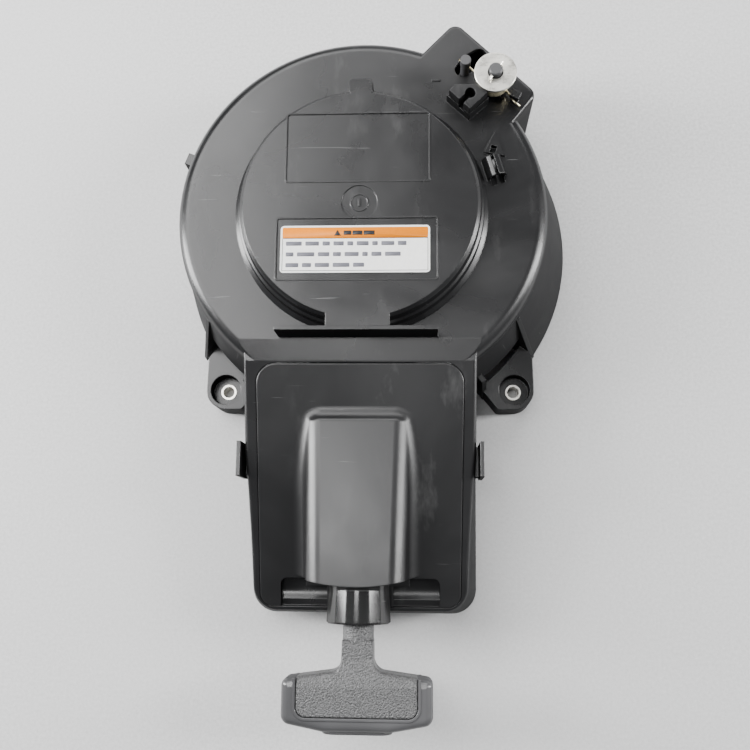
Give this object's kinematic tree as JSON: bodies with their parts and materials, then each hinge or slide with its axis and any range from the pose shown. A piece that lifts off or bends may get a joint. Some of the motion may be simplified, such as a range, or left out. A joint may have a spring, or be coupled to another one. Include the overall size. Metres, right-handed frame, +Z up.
{
  "type": "recoil starter",
  "caption": "Manual recoil starter for a small outboard engine: moulded drum with spring dome, rope neck and T-handle, pawl ratchet and a sprung start-in-gear lock.",
  "frame": {"origin": "on the starter's axis, in the plane under the three mounting feet", "axes": "+Z up from the feet to the spring dome, -Y out along the neck to the T-handle, +X to the side of the start-in-gear lock"},
  "size_m": [0.237, 0.4143, 0.101],
  "materials": {
    "housing_plastic": "semi-gloss moulded black",
    "cover_plastic": "satin moulded black",
    "collar_plastic": "polished black",
    "handle_plastic": "smooth black",
    "grip_plastic": "grained black",
    "reel_plastic": "moulded dark grey",
    "zinc_steel": "zinc plated",
    "spring_steel": "oiled spring strip",
    "spring_wire": "yellow passivated wire",
    "brass": "machined",
    "bronze_bush": "natural acetal",
    "lever_plastic": "moulded grey",
    "rope_fibre": "braided polyester",
    "label_film": "printed vinyl"
  },
  "bodies": {
    "housing": {"starter_housing": "housing_plastic", "rope_guide_cover": "cover_plastic", "handle_seat": "collar_plastic", "rope_guide_bush": "bronze_bush", "mount_sleeves": "zinc_steel", "warning_label": "label_film", "recoil_spring": "spring_steel", "sheave_snap_ring": "spring_steel", "rope_lead": "rope_fibre", "friction_spring": "spring_wire", "centre_washer": "zinc_steel", "centre_screw": "zinc_steel", "post_insert": "brass", "interlock_spring": "spring_wire"},
    "sheave": {"rope_sheave": "reel_plastic", "sheave_bushing": "bronze_bush", "rope_coil": "rope_fibre", "sheave_knot": "rope_fibre", "pawl_pins": "zinc_steel"},
    "pawl_a": {"pawl_1": "zinc_steel"},
    "pawl_b": {"pawl_2": "zinc_steel"},
    "plate": {"friction_plate": "zinc_steel"},
    "lock": {"interlock_lever": "lever_plastic", "interlock_washer": "zinc_steel", "interlock_cotter_pin": "zinc_steel"},
    "handle": {"handle_grip": "grip_plastic", "handle_frame": "handle_plastic", "handle_end_plug": "handle_plastic", "handle_knot_plate": "zinc_steel", "handle_knot": "rope_fibre"}
  },
  "joints": [
    {"name": "sheave_spin", "type": "hinge", "parent": "housing", "child": "sheave", "pos_m": [0, 0, 0.06], "axis": [0, 0, -1], "range_deg": [0, 900], "stiffness_Nm_per_rad": 0.036, "springref_deg": -515.66, "deforming": ["recoil_spring"]},
    {"name": "handle_pull", "type": "slide", "parent": "housing", "child": "handle", "axis": [0, -1, 0], "range_m": [0, 1.18017], "deforming": ["rope_lead"]},
    {"name": "plate_turn", "type": "hinge", "parent": "sheave", "child": "plate", "pos_m": [0, 0, 0.0394], "axis": [0, 0, 1], "range_deg": [0, 20]},
    {"name": "pawl_a_swing", "type": "hinge", "parent": "sheave", "child": "pawl_a", "pos_m": [0.026, 0, 0.046], "axis": [0, 0, -1], "range_deg": [0, 25]},
    {"name": "pawl_b_swing", "type": "hinge", "parent": "sheave", "child": "pawl_b", "pos_m": [-0.026, 0, 0.046], "axis": [0, 0, -1], "range_deg": [0, 25]},
    {"name": "lock_swing", "type": "hinge", "parent": "housing", "child": "lock", "pos_m": [0.0742, 0.0739, 0.08], "axis": [0, 0, -1], "range_deg": [0, 30], "stiffness_Nm_per_rad": 0.05, "springref_deg": -34.38, "deforming": ["interlock_spring"]}
  ],
  "couplings": [
    {"joint": "handle_pull", "follows": "sheave_spin", "m_per_rad": 0.0751},
    {"joint": "pawl_a_swing", "follows": "plate_turn", "ratio": 1.25},
    {"joint": "pawl_b_swing", "follows": "plate_turn", "ratio": 1.25}
  ]
}
